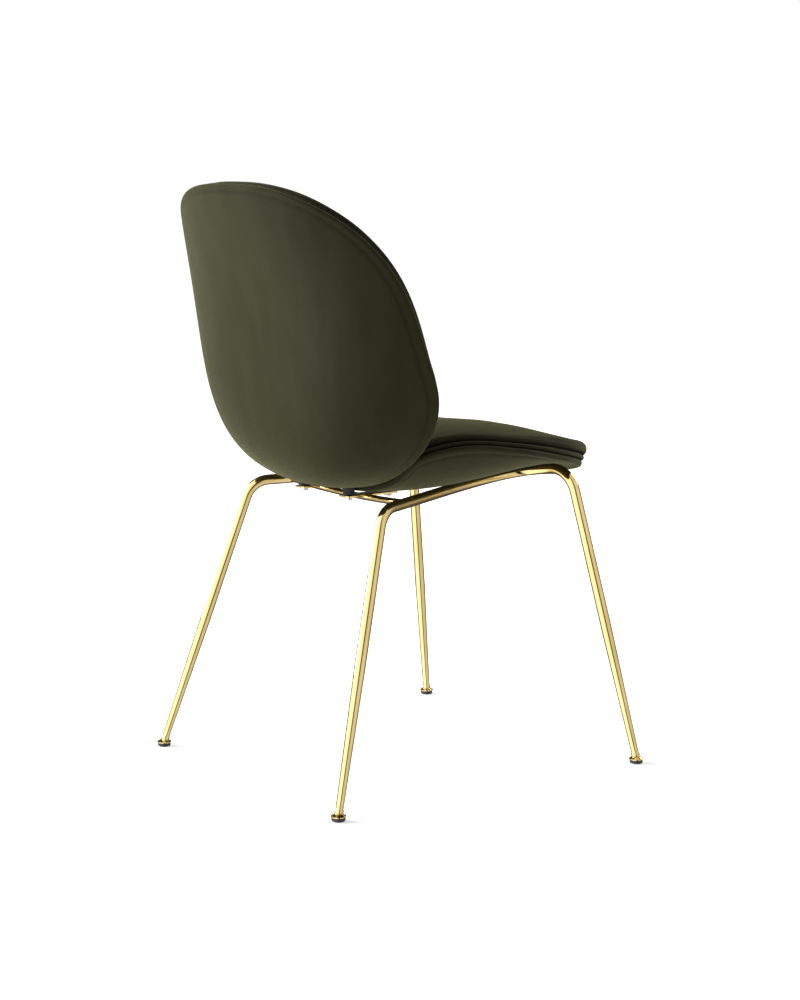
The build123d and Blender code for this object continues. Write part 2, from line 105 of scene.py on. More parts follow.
# ---------------------------------------------------------------------------------------------
# Shader node groups
# ---------------------------------------------------------------------------------------------
class NodeGroupShelf:
    """Builds each shared node group once and hands it out by name."""

    def __init__(self) -> None:
        """Start with nothing built."""
        self._groups: dict[Effect, bpy.types.NodeTree] = {}

    def get(self, effect: Effect) -> bpy.types.NodeTree:
        """Return a shared group, building it the first time.

        Args:
            effect: Which shared effect is wanted.

        Returns:
            The node group.
        """
        if effect not in self._groups:
            makers = {
                Effect.PILE: self._pile,
                Effect.MOTTLE: self._mottle,
                Effect.FINE_LINES: self._fine_lines,
                Effect.EDGE_WEAR: self._edge_wear,
            }
            self._groups[effect] = makers[effect]()
        return self._groups[effect]

    @staticmethod
    def _start(
        name: str, inputs: dict[str, float], outputs: list[str]
    ) -> tuple[bpy.types.NodeTree, bpy.types.Node, bpy.types.Node]:
        """Make an empty group with float inputs and outputs.

        Args:
            name: Name of the group.
            inputs: Input socket names with their default values.
            outputs: Output socket names.

        Returns:
            The group, its input node and its output node.
        """
        tree = bpy.data.node_groups.new(name, "ShaderNodeTree")
        for label, value in inputs.items():
            socket = tree.interface.new_socket(label, in_out="INPUT", socket_type="NodeSocketFloat")
            socket.default_value = value
        for label in outputs:
            tree.interface.new_socket(label, in_out="OUTPUT", socket_type="NodeSocketFloat")
        return tree, tree.nodes.new("NodeGroupInput"), tree.nodes.new("NodeGroupOutput")

    @staticmethod
    def _noise(
        tree: bpy.types.NodeTree,
        scale: bpy.types.NodeSocket | float,
        detail: float,
        roughness: float = 0.5,
        vector: bpy.types.NodeSocket | None = None,
    ) -> bpy.types.Node:
        """Add a noise texture that reads object coordinates unless a vector is given.

        Args:
            tree: The tree to add to.
            scale: A number, or the socket that gives the scale.
            detail: Octaves of detail.
            roughness: How strong the fine octaves are.
            vector: The coordinates to read, if not the object's own.

        Returns:
            The noise node.
        """
        node = tree.nodes.new("ShaderNodeTexNoise")
        node.inputs["Detail"].default_value = detail
        node.inputs["Roughness"].default_value = roughness
        if vector is None:
            vector = tree.nodes.new("ShaderNodeTexCoord").outputs["Object"]
        tree.links.new(vector, node.inputs["Vector"])
        if isinstance(scale, (int, float)):
            node.inputs["Scale"].default_value = scale
        else:
            tree.links.new(scale, node.inputs["Scale"])
        return node

    @staticmethod
    def _math(
        tree: bpy.types.NodeTree,
        operation: str,
        first: bpy.types.NodeSocket | float,
        second: bpy.types.NodeSocket | float = 0.0,
        clamp: bool = False,
    ) -> bpy.types.NodeSocket:
        """Add a maths node.

        Args:
            tree: The tree to add to.
            operation: Name of the operation.
            first: First value or socket.
            second: Second value or socket.
            clamp: Whether the result is kept between 0 and 1.

        Returns:
            The result socket.
        """
        node = tree.nodes.new("ShaderNodeMath")
        node.operation = operation
        node.use_clamp = clamp
        for socket, value in zip(node.inputs, (first, second)):
            if isinstance(value, (int, float)):
                socket.default_value = value
            else:
                tree.links.new(value, socket)
        return node.outputs[0]

    @staticmethod
    def _ramp(
        tree: bpy.types.NodeTree, value: bpy.types.NodeSocket, low: float, high: float
    ) -> bpy.types.NodeSocket:
        """Spread the part of a value between low and high over 0 to 1.

        Args:
            tree: The tree to add to.
            value: The value socket.
            low: Value that becomes 0.
            high: Value that becomes 1.

        Returns:
            The result socket.
        """
        node = tree.nodes.new("ShaderNodeMapRange")
        node.interpolation_type = "SMOOTHSTEP"
        tree.links.new(value, node.inputs["Value"])
        node.inputs["From Min"].default_value = low
        node.inputs["From Max"].default_value = high
        return node.outputs["Result"]

    def _pile(self) -> bpy.types.NodeTree:
        """Build the pile of a short velvet: brushed patches and single fibres."""
        tree, start, end = self._start(
            Effect.PILE.value,
            {"Fibre Scale": 2600.0, "Brush Scale": 9.0, "Streak Scale": 60.0, "Streak Amount": 0.3},
            ["Brushed", "Fibre", "Height"],
        )
        brush = self._noise(tree, start.outputs["Brush Scale"], 3.0, 0.55)
        fibre = self._noise(tree, start.outputs["Fibre Scale"], 2.0, 0.6)
        stretch = tree.nodes.new("ShaderNodeMapping")
        stretch.inputs["Scale"].default_value = (1.0, 1.0, 0.14)
        coords = tree.nodes.new("ShaderNodeTexCoord")
        tree.links.new(coords.outputs["Object"], stretch.inputs["Vector"])
        streak = self._noise(
            tree, start.outputs["Streak Scale"], 4.0, 0.6, stretch.outputs["Vector"]
        )
        patches = self._ramp(tree, brush.outputs["Fac"], 0.3, 0.72)
        lines = self._ramp(tree, streak.outputs["Fac"], 0.35, 0.7)
        amount = self._math(tree, "MULTIPLY", lines, start.outputs["Streak Amount"])
        rest = self._math(tree, "SUBTRACT", 1.0, start.outputs["Streak Amount"])
        broad = self._math(tree, "MULTIPLY", patches, rest)
        tree.links.new(self._math(tree, "ADD", amount, broad, True), end.inputs["Brushed"])
        tips = self._ramp(tree, fibre.outputs["Fac"], 0.34, 0.68)
        tree.links.new(tips, end.inputs["Fibre"])
        lift = self._math(tree, "MULTIPLY", tips, 0.6)
        tree.links.new(self._math(tree, "ADD", lift, broad), end.inputs["Height"])
        return tree

    def _mottle(self) -> bpy.types.NodeTree:
        """Build slow variation and small specks for moulded and plated surfaces."""
        tree, start, end = self._start(
            Effect.MOTTLE.value, {"Scale": 30.0, "Speck Scale": 900.0}, ["Cloud", "Speck"]
        )
        cloud = self._noise(tree, start.outputs["Scale"], 4.0)
        speck = self._noise(tree, start.outputs["Speck Scale"], 2.0)
        tree.links.new(self._ramp(tree, cloud.outputs["Fac"], 0.32, 0.7), end.inputs["Cloud"])
        tree.links.new(self._ramp(tree, speck.outputs["Fac"], 0.45, 0.72), end.inputs["Speck"])
        return tree

    def _fine_lines(self) -> bpy.types.NodeTree:
        """Build the fine polishing lines and hairline scratches of a polished metal."""
        tree, start, end = self._start(
            Effect.FINE_LINES.value,
            {"Line Scale": 700.0, "Scratch Scale": 160.0},
            ["Lines", "Scratch"],
        )
        coords = tree.nodes.new("ShaderNodeTexCoord")
        along = tree.nodes.new("ShaderNodeMapping")
        along.inputs["Scale"].default_value = (1.0, 1.0, 0.03)
        tree.links.new(coords.outputs["Object"], along.inputs["Vector"])
        lines = self._noise(tree, start.outputs["Line Scale"], 3.0, 0.6, along.outputs["Vector"])
        tilt = tree.nodes.new("ShaderNodeMapping")
        tilt.inputs["Rotation"].default_value = (0.5, 0.9, 0.3)
        tilt.inputs["Scale"].default_value = (1.0, 0.05, 1.0)
        tree.links.new(coords.outputs["Object"], tilt.inputs["Vector"])
        scratch = self._noise(
            tree, start.outputs["Scratch Scale"], 2.0, 0.5, tilt.outputs["Vector"]
        )
        tree.links.new(self._ramp(tree, lines.outputs["Fac"], 0.3, 0.7), end.inputs["Lines"])
        tree.links.new(self._ramp(tree, scratch.outputs["Fac"], 0.66, 0.74), end.inputs["Scratch"])
        return tree

    def _edge_wear(self) -> bpy.types.NodeTree:
        """Build a mask that is high where a surface bends outwards sharply."""
        tree, start, end = self._start(
            Effect.EDGE_WEAR.value, {"Low": 0.52, "High": 0.62, "Break Scale": 220.0}, ["Mask"]
        )
        geometry = tree.nodes.new("ShaderNodeNewGeometry")
        rising = tree.nodes.new("ShaderNodeMapRange")
        rising.interpolation_type = "SMOOTHSTEP"
        tree.links.new(geometry.outputs["Pointiness"], rising.inputs["Value"])
        tree.links.new(start.outputs["Low"], rising.inputs["From Min"])
        tree.links.new(start.outputs["High"], rising.inputs["From Max"])
        broken = self._noise(tree, start.outputs["Break Scale"], 3.0)
        patches = self._ramp(tree, broken.outputs["Fac"], 0.38, 0.6)
        worn = self._math(tree, "MULTIPLY", rising.outputs["Result"], patches, True)
        tree.links.new(worn, end.inputs["Mask"])
        return tree


# ---------------------------------------------------------------------------------------------
# Finishes
# ---------------------------------------------------------------------------------------------
@dataclass(frozen=True)
class Finish:
    """What every finish has: a name, a colour pair, a roughness pair and the node groups."""

    name: str
    dark: tuple[float, float, float]
    light: tuple[float, float, float]
    smooth: float
    rough: float
    shelf: NodeGroupShelf

    def material(self) -> bpy.types.Material:
        """Return this finish's material, building it the first time."""
        known = bpy.data.materials.get(self.name)
        if known is not None:
            return known
        made = bpy.data.materials.new(self.name)
        made.use_nodes = True
        tree = made.node_tree
        shader = tree.nodes["Principled BSDF"]
        self.wire(tree, shader)
        made.diffuse_color = (*self.light, 1.0)
        return made

    def wire(self, tree: bpy.types.NodeTree, shader: bpy.types.Node) -> None:
        """Connect this finish's nodes.

        Args:
            tree: The material's node tree.
            shader: Its Principled BSDF node.
        """
        raise NotImplementedError

    def group(
        self, tree: bpy.types.NodeTree, effect: Effect, **values: float
    ) -> bpy.types.Node:
        """Place a shared group in a material.

        Args:
            tree: The material's node tree.
            effect: Which group.
            **values: Input values by socket name, with underscores for spaces.

        Returns:
            The group node.
        """
        node = tree.nodes.new("ShaderNodeGroup")
        node.node_tree = self.shelf.get(effect)
        for key, value in values.items():
            node.inputs[key.replace("_", " ")].default_value = value
        return node

    def blend_colour(
        self,
        tree: bpy.types.NodeTree,
        factor: bpy.types.NodeSocket,
        low: tuple[float, float, float] | bpy.types.NodeSocket,
        high: tuple[float, float, float],
    ) -> bpy.types.NodeSocket:
        """Mix two colours by a mask.

        Args:
            tree: The material's node tree.
            factor: The mask socket.
            low: Colour or colour socket where the mask is 0.
            high: Colour where the mask is 1.

        Returns:
            The colour socket.
        """
        node = tree.nodes.new("ShaderNodeMix")
        node.data_type = "RGBA"
        tree.links.new(factor, node.inputs["Factor"])
        if isinstance(low, bpy.types.NodeSocket):
            tree.links.new(low, node.inputs["A"])
        else:
            node.inputs["A"].default_value = (*low, 1.0)
        node.inputs["B"].default_value = (*high, 1.0)
        return node.outputs["Result"]

    def scaled(
        self, tree: bpy.types.NodeTree, value: bpy.types.NodeSocket, low: float, high: float
    ) -> bpy.types.NodeSocket:
        """Spread a 0 to 1 value over a range.

        Args:
            tree: The material's node tree.
            value: The value socket.
            low: Result at 0.
            high: Result at 1.

        Returns:
            The result socket.
        """
        node = tree.nodes.new("ShaderNodeMapRange")
        tree.links.new(value, node.inputs["Value"])
        node.inputs["To Min"].default_value = low
        node.inputs["To Max"].default_value = high
        return node.outputs["Result"]

    def bump(
        self,
        tree: bpy.types.NodeTree,
        shader: bpy.types.Node,
        height: bpy.types.NodeSocket,
        strength: float,
        distance: float,
    ) -> None:
        """Feed a height into the shader's normal.

        Args:
            tree: The material's node tree.
            shader: The Principled BSDF node.
            height: The height socket.
            strength: Bump strength.
            distance: Bump distance in metres.
        """
        node = tree.nodes.new("ShaderNodeBump")
        node.inputs["Strength"].default_value = strength
        node.inputs["Distance"].default_value = distance
        tree.links.new(height, node.inputs["Height"])
        tree.links.new(node.outputs["Normal"], shader.inputs["Normal"])


@dataclass(frozen=True)
class VelvetFinish(Finish):
    """Short-pile velvet: matt face, pale sheen where it turns away, brushed patches, painted shade
    in the creases.
    """

    sheen: float = 0.34
    sheen_rough: float = 0.36
    sheen_tint: tuple[float, float, float] = (0.52, 0.52, 0.26)

    def wire(self, tree: bpy.types.NodeTree, shader: bpy.types.Node) -> None:
        """Connect the pile, its colour, its sheen and the painted shade in the creases.

        Args:
            tree: The material's node tree.
            shader: Its Principled BSDF node.
        """
        pile = self.group(tree, Effect.PILE, Brush_Scale=3.0, Streak_Scale=26.0, Streak_Amount=0.55)
        mottle = self.group(tree, Effect.MOTTLE, Scale=3.2, Speck_Scale=1500.0)
        broad = self.blend_colour(tree, pile.outputs["Brushed"], self.dark, self.light)
        tips = tuple(min(1.0, 1.5 * c) for c in self.light)
        speck = NodeGroupShelf._math(tree, "MULTIPLY", pile.outputs["Fibre"], 0.3)
        colour = self.blend_colour(tree, speck, broad, tips)
        shaded = tuple(0.85 * c for c in self.dark)
        slow = NodeGroupShelf._math(tree, "MULTIPLY", mottle.outputs["Cloud"], 0.35)
        colour = self.blend_colour(tree, slow, colour, shaded)
        # Painted shade: the crease attribute darkens the colour almost to black and takes the sheen
        # away in the creases and grooves between layers.
        crease_shade = tree.nodes.new("ShaderNodeAttribute")
        crease_shade.attribute_name = CREASE_SHADE
        crease_shade_amount = NodeGroupShelf._math(tree, "MULTIPLY", crease_shade.outputs["Fac"], 0.9)
        crease_shade_colour = tuple(0.06 * c for c in self.dark)
        colour = self.blend_colour(tree, crease_shade_amount, colour, crease_shade_colour)
        tree.links.new(colour, shader.inputs["Base Color"])
        sheen = self.scaled(tree, crease_shade.outputs["Fac"], self.sheen, 0.0)
        tree.links.new(sheen, shader.inputs["Sheen Weight"])
        roughness = self.scaled(tree, pile.outputs["Brushed"], self.rough, self.smooth)
        tree.links.new(roughness, shader.inputs["Roughness"])
        shader.inputs["Sheen Roughness"].default_value = self.sheen_rough
        shader.inputs["Sheen Tint"].default_value = (*self.sheen_tint, 1.0)
        shader.inputs["Specular IOR Level"].default_value = 0.08
        self.bump(tree, shader, pile.outputs["Height"], 0.25, 0.0006)


@dataclass(frozen=True)
class PolishedFinish(Finish):
    """Polished plated metal with faint polishing lines, hairlines and worn edges."""

    coat: float = 0.0

    def wire(self, tree: bpy.types.NodeTree, shader: bpy.types.Node) -> None:
        """Connect the metal colour, polish lines and wear.

        Args:
            tree: The material's node tree.
            shader: Its Principled BSDF node.
        """
        mottle = self.group(tree, Effect.MOTTLE, Scale=14.0, Speck_Scale=1200.0)
        lines = self.group(tree, Effect.FINE_LINES)
        wear = self.group(tree, Effect.EDGE_WEAR)
        tone = self.blend_colour(tree, mottle.outputs["Cloud"], self.dark, self.light)
        bright = tuple(min(1.0, 1.08 * c) for c in self.light)
        colour = self.blend_colour(tree, wear.outputs["Mask"], tone, bright)
        tree.links.new(colour, shader.inputs["Base Color"])
        shader.inputs["Metallic"].default_value = 1.0
        mixed = NodeGroupShelf._math(tree, "MULTIPLY", mottle.outputs["Cloud"], 0.6)
        hair = NodeGroupShelf._math(tree, "MULTIPLY", lines.outputs["Scratch"], 0.5)
        total = NodeGroupShelf._math(tree, "ADD", mixed, hair, True)
        shine = self.scaled(tree, total, self.smooth, self.rough)
        tree.links.new(shine, shader.inputs["Roughness"])
        shader.inputs["Coat Weight"].default_value = self.coat
        shader.inputs["Coat Roughness"].default_value = 0.05
        self.bump(tree, shader, lines.outputs["Lines"], 0.03, 0.0001)


@dataclass(frozen=True)
class MouldedFinish(Finish):
    """Moulded plastic or rubber: fine grain, slow shine changes, paler rubbed edges."""

    grain: float = 0.25

    def wire(self, tree: bpy.types.NodeTree, shader: bpy.types.Node) -> None:
        """Connect the moulded colour, grain and rubbed edges.

        Args:
            tree: The material's node tree.
            shader: Its Principled BSDF node.
        """
        mottle = self.group(tree, Effect.MOTTLE, Scale=60.0, Speck_Scale=1800.0)
        wear = self.group(tree, Effect.EDGE_WEAR, Low=0.53, High=0.66)
        tone = self.blend_colour(tree, mottle.outputs["Cloud"], self.dark, self.light)
        rubbed = tuple(min(1.0, 2.2 * c + 0.01) for c in self.light)
        part = NodeGroupShelf._math(tree, "MULTIPLY", wear.outputs["Mask"], 0.5)
        tree.links.new(self.blend_colour(tree, part, tone, rubbed), shader.inputs["Base Color"])
        shine = self.scaled(tree, mottle.outputs["Cloud"], self.smooth, self.rough)
        tree.links.new(shine, shader.inputs["Roughness"])
        self.bump(tree, shader, mottle.outputs["Speck"], self.grain, 0.0001)


@dataclass
class FinishShelf:
    """The chair's finishes, by the material slot each one paints."""

    groups: NodeGroupShelf = field(default_factory=NodeGroupShelf)

    def velvet(self) -> VelvetFinish:
        """Return the dark olive velvet."""
        dark = (0.0170, 0.0168, 0.0066)
        light = (0.0215, 0.0212, 0.0090)
        return VelvetFinish("olive_velvet", dark, light, 0.72, 0.92, self.groups)

    def brass(self) -> PolishedFinish:
        """Return the polished brass-coloured plating."""
        return PolishedFinish(
            "polished_brass", (0.64, 0.475, 0.20), (0.72, 0.55, 0.25), 0.07, 0.13, self.groups
        )

    def steel(self) -> PolishedFinish:
        """Return the zinc-plated steel of the bolts and washers."""
        return PolishedFinish(
            "zinc_steel", (0.42, 0.43, 0.45), (0.56, 0.57, 0.59), 0.28, 0.42, self.groups
        )

    def insert(self) -> PolishedFinish:
        """Return the turned brass of the threaded inserts."""
        return PolishedFinish(
            "turned_brass", (0.52, 0.38, 0.16), (0.66, 0.50, 0.24), 0.24, 0.38, self.groups
        )

    def glide(self) -> MouldedFinish:
        """Return the black moulded glide plastic."""
        return MouldedFinish(
            "black_glide", (0.006, 0.006, 0.006), (0.012, 0.012, 0.012), 0.3, 0.5, self.groups
        )

    def shell(self) -> MouldedFinish:
        """Return the black moulded shell plastic."""
        return MouldedFinish(
            "black_shell", (0.010, 0.010, 0.010), (0.018, 0.018, 0.018), 0.45, 0.6, self.groups
        )

    def rubber(self) -> MouldedFinish:
        """Return the black rubber of the spacers."""
        return MouldedFinish(
            "black_rubber", (0.008, 0.008, 0.008), (0.016, 0.016, 0.015), 0.7, 0.9, self.groups, 0.5
        )

    def by_slot(self) -> dict[str, Finish]:
        """Return the finish of each material slot in the record."""
        return {
            "brass": self.brass(),
            "steel": self.steel(),
            "insert": self.insert(),
            "glide": self.glide(),
            "shell": self.shell(),
            "rubber": self.rubber(),
            "velvet": self.velvet(),
        }


# ---------------------------------------------------------------------------------------------
# Shape of the two shells
# ---------------------------------------------------------------------------------------------
@dataclass(frozen=True)
class Dish:
    """A dished surface: a height over a flat plane, with an egg-shaped rim.

    Positions on it are (x across, s along). Depth is measured inwards, towards the sitter.
    """

    origin: tuple[float, float, float]
    along: tuple[float, float, float]
    outward: tuple[float, float, float]
    profile: tuple[float, ...]
    step: float
    wrap: tuple[float, ...]
    flare: tuple[float, ...]
    half_width: float
    wide_at: float
    far_at: float
    near_at: float
    far_fullness: float
    near_fullness: float

    def height(self, x: np.ndarray, s: np.ndarray) -> np.ndarray:
        """Return the outward height over the dish's plane at x across and s along."""
        k = s / self.step
        u = x / self.half_width
        middle = sum(term * k**power for power, term in enumerate(self.profile))
        wrap = sum(term * k**power for power, term in enumerate(self.wrap))
        flare = sum(term * k**power for power, term in enumerate(self.flare))
        return middle - wrap * u**2 - flare * u**4

    def moved(self, shift: float) -> "Dish":
        """Return the same dish moved by shift along Y."""
        x, y, z = self.origin
        return replace(self, origin=(x, y + shift, z))

    def normal(self, x: np.ndarray, s: np.ndarray) -> np.ndarray:
        """Return the outward unit normals, one row each, at x across and s along."""
        d = 0.0005
        hx = (self.height(x + d, s) - self.height(x - d, s)) / (2 * d)
        hs = (self.height(x, s + d) - self.height(x, s - d)) / (2 * d)
        across = np.array([1.0, 0.0, 0.0])
        n = np.array(self.outward) - hx[..., None] * across - hs[..., None] * np.array(self.along)
        return n / np.linalg.norm(n, axis=-1, keepdims=True)

    def point(self, x: np.ndarray, s: np.ndarray, depth: np.ndarray) -> np.ndarray:
        """Return positions in space.

        Args:
            x: Places across.
            s: Places along.
            depth: Depths inwards from the outer face.

        Returns:
            Positions, one row each.
        """
        h = self.height(x, s)
        flat = np.array(self.origin) + x[..., None] * np.array([1.0, 0.0, 0.0])
        p = flat + s[..., None] * np.array(self.along) + h[..., None] * np.array(self.outward)
        return p - self.normal(x, s) * np.broadcast_to(depth, x.shape)[..., None]

    def rim(self, angle: np.ndarray) -> tuple[np.ndarray, np.ndarray]:
        """Return the rim's (x, s) at each angle; 0 is the far end and pi the near end."""
        c = np.cos(angle)
        w = np.sin(angle)
        fullness = np.where(c > 0, self.far_fullness, self.near_fullness)
        reach = np.where(c > 0, self.far_at - self.wide_at, self.wide_at - self.near_at)
        x = self.half_width * np.sign(w) * np.abs(w) ** (2 / fullness)
        s = self.wide_at + reach * np.sign(c) * np.abs(c) ** (2 / fullness)
        return x, s

    def hump(self, x: np.ndarray, s: np.ndarray) -> np.ndarray:
        """Return a smooth hump: 1 in the middle of the dish, 0 near its rim and beyond."""
        half_length = (self.far_at - self.near_at) / 2
        c = s - (self.far_at + self.near_at) / 2
        return np.maximum(0.0, 1 - (x / self.half_width) ** 2 - (c / half_length) ** 2) ** 2


LEAN = math.radians(35.0)

BACK = Dish(
    origin=(0.0, 0.170, 0.620),
    along=(0.0, math.sin(LEAN), math.cos(LEAN)),
    outward=(0.0, math.cos(LEAN), -math.sin(LEAN)),
    profile=(0.0739, -0.1161, -0.0119, 0.0832, -0.0423),
    step=0.200,
    wrap=(0.0135, -0.0501, 0.0668),
    flare=(0.0942,),
    half_width=0.2800,
    wide_at=-0.0275,
    far_at=0.2715,
    near_at=-0.1941,
    far_fullness=2.44,
    near_fullness=2.245,
)

SEAT = Dish(
    origin=(0.0, 0.0, 0.0),
    along=(0.0, -1.0, 0.0),
    outward=(0.0, 0.0, -1.0),
    profile=(-0.4242, -0.0343, -0.0614, 0.0312, 0.0579, 0.0164, -0.0244),
    step=0.250,
    wrap=(0.0046, -0.0358, 0.0262),
    flare=(0.0687, -0.0556, -0.0220),
    half_width=0.2514,
    wide_at=0.0387,
    far_at=0.2947,
    near_at=-0.1750,
    far_fullness=2.0,
    near_fullness=2.65,
)


@dataclass(frozen=True)
class EdgeShape:
    """The section of one layer at its edge."""

    depth: float
    thickness: float
    outer_radius: float
    inner_radius: float
    crown: float = 0.0
    swell: float = 0.0


@dataclass
class DishedLayer:
    """One upholstered layer of a shell: a closed form with rounded, slightly full edges."""

    name: str
    side: Side
    ply: Ply
    dish: Dish
    wall: Dish
    edge: EdgeShape
    finish: Finish
    nodes: tuple[str, ...]
    spokes: int = 288
    rings: int = 44
    arc_steps: int = 7
    seam_gap: float = 0.0012
    seam_top: float = 0.500
    seam_rise: float = 0.25
    groove_at: float = 0.0065
    groove_depth: float = 0.0
    ripple: float = 0.0004
    # Painted shade: crease_reach is how far it fades into the edge, groove_shade and
    # groove_shade_width how dark and how wide it is along the groove.
    crease_reach: float = 0.30
    groove_shade: float = 0.35
    groove_width: float = 0.0011
    groove_shade_width: float = 0.0016
    ring_crowding: float = 1.6
    halvings: int = 26
    fill: float | None = None

    def build(self) -> bpy.types.Object:
        """Make the layer's mesh, dress it and hand it to the frame.

        Returns:
            The finished piece.
        """
        middle_s = 0.5 * (self.dish.far_at + self.dish.near_at)
        span_x, span_s = self._even_spokes(middle_s)
        reach = self._reach(span_x, span_s, middle_s)
        span_x, span_s = span_x * reach, span_s * reach
        piece = self._skin(span_x, span_s, middle_s)
        self._dress(piece)
        LOG.info("%s: %d faces", piece.name, len(piece.data.polygons))
        return piece

    def _even_spokes(self, middle_s: float) -> tuple[np.ndarray, np.ndarray]:
        """Space the spokes evenly round the rim.

        Args:
            middle_s: Where the middle is.

        Returns:
            Spoke ends across and along, from the middle.
        """
        fine = np.linspace(0, 2 * np.pi, 12 * self.spokes, endpoint=False)
        x, s = self.dish.rim(fine)
        s = s - middle_s
        run = np.concatenate([[0], np.cumsum(np.hypot(np.diff(x), np.diff(s)))])
        whole = run[-1] + math.hypot(x[0] - x[-1], s[0] - s[-1])
        even = np.linspace(0, whole, self.spokes, endpoint=False)
        closed = np.append(run, whole)
        even_x = np.interp(even, closed, np.append(x, x[0]))
        return even_x, np.interp(even, closed, np.append(s, s[0]))

    def _reach(self, span_x: np.ndarray, span_s: np.ndarray, middle_s: float) -> np.ndarray:
        """Return how far each spoke may run before it meets the seam between the shells.

        Args:
            span_x: Rim places across.
            span_s: Rim places along, from the middle.
            middle_s: Where the middle is.

        Returns:
            A factor for each spoke, 1 where nothing is in its way.
        """
        seam_x, seam_y = self._seam()
        low = np.full(len(span_x), 0.4)
        high = np.ones(len(span_x))
        for _ in range(self.halvings):
            trial = 0.5 * (low + high)
            inside = self._clear(span_x * trial, middle_s + span_s * trial, seam_x, seam_y)
            low = np.where(inside, trial, low)
            high = np.where(inside, high, trial)
        whole = self._clear(span_x, middle_s + span_s, seam_x, seam_y)
        reach = np.where(whole, 1.0, low)
        weights = np.array([1.0, 2.0, 3.0, 2.0, 1.0])
        padded = np.concatenate([reach[-2:], reach, reach[:2]])
        smooth = np.convolve(padded, weights / weights.sum(), mode="valid")
        return np.minimum(reach, smooth)

    def _seam(self) -> tuple[np.ndarray, np.ndarray]:
        """Return the plan line of the back shell's lower rim as x and y."""
        angle = np.pi * np.linspace(0.60, 1.40, 81)
        x, s = self.wall.rim(angle)
        p = self.wall.point(x, s, np.zeros_like(x))
        order = np.argsort(p[:, 0])
        return p[order, 0], p[order, 1]

    def _clear(
        self, x: np.ndarray, s: np.ndarray, seam_x: np.ndarray, seam_y: np.ndarray
    ) -> np.ndarray:
        """Tell which places are on this layer's own side of the seam.

        Args:
            x: Places across.
            s: Places along.
            seam_x: The seam's plan line, x.
            seam_y: The seam's plan line, y.

        Returns:
            True where the place is clear of the seam.
        """
        p = self.dish.point(x, s, np.full_like(x, self.edge.depth + 0.5 * self.edge.thickness))
        wall = np.interp(p[:, 0], seam_x, seam_y)
        if self.side is Side.SEAT:
            return p[:, 1] < wall - self.seam_gap
        if self.ply is Ply.WRAP:
            return np.ones(len(x), dtype=bool)
        low_down = p[:, 2] < self.seam_top + self.seam_rise * np.abs(p[:, 0])
        return ~low_down | (p[:, 1] > wall + self.seam_gap)

    def _section(self) -> list[tuple[float, float]]:
        """Return the edge section as (outset, depth), from the outer face to the inner face."""
        e = self.edge
        steps = []
        for i in range(self.arc_steps + 1):
            a = 0.5 * math.pi * i / self.arc_steps
            out = -e.outer_radius + e.outer_radius * math.sin(a)
            steps.append((out, e.depth + e.outer_radius * (1 - math.cos(a))))
        wall = e.thickness - e.outer_radius - e.inner_radius
        for i in range(1, 4):
            t = i / 4
            steps.append((e.swell * math.sin(math.pi * t), e.depth + e.outer_radius + wall * t))
        for i in range(self.arc_steps + 1):
            a = 0.5 * math.pi * i / self.arc_steps
            out = -e.inner_radius + e.inner_radius * math.cos(a)
            steps.append((out, e.depth + e.thickness - e.inner_radius * (1 - math.sin(a))))
        return steps

    def _skin(self, span_x: np.ndarray, span_s: np.ndarray, middle_s: float) -> bpy.types.Object:
        """Build the closed mesh.

        Args:
            span_x: Spoke ends across, from the middle.
            span_s: Spoke ends along, from the middle.
            middle_s: Where the middle is.

        Returns:
            The piece, without a material.
        """
        e = self.edge
        length = np.hypot(span_x, span_s)
        rows: list[np.ndarray] = []
        blend = self._ring_shares()
        for t in blend:
            scale = t - e.outer_radius / length * t
            rows.append(self._ring(span_x, span_s, middle_s, scale, e.depth, 0))
        for out, depth in self._section():
            inner = 1.0 if depth > e.depth + 0.5 * e.thickness else 0.0
            rows.append(self._ring(span_x, span_s, middle_s, 1 + out / length, depth, inner))
        top = e.depth + e.thickness
        for t in blend[::-1]:
            scale = t - e.inner_radius / length * t
            rows.append(self._ring(span_x, span_s, middle_s, scale, top, 1))
        verts = np.concatenate(rows)
        x_middle = np.zeros(1)
        s_middle = np.full(1, middle_s)
        first = self.dish.point(x_middle, s_middle, np.full(1, e.depth))
        top_depth = top + e.crown * self.dish.hump(x_middle, s_middle)
        last = self.dish.point(x_middle, s_middle, top_depth)
        verts = np.concatenate([verts, first, last])
        piece = self._mesh(verts, len(rows))
        self._shade_creases(piece, span_x, span_s)
        return piece

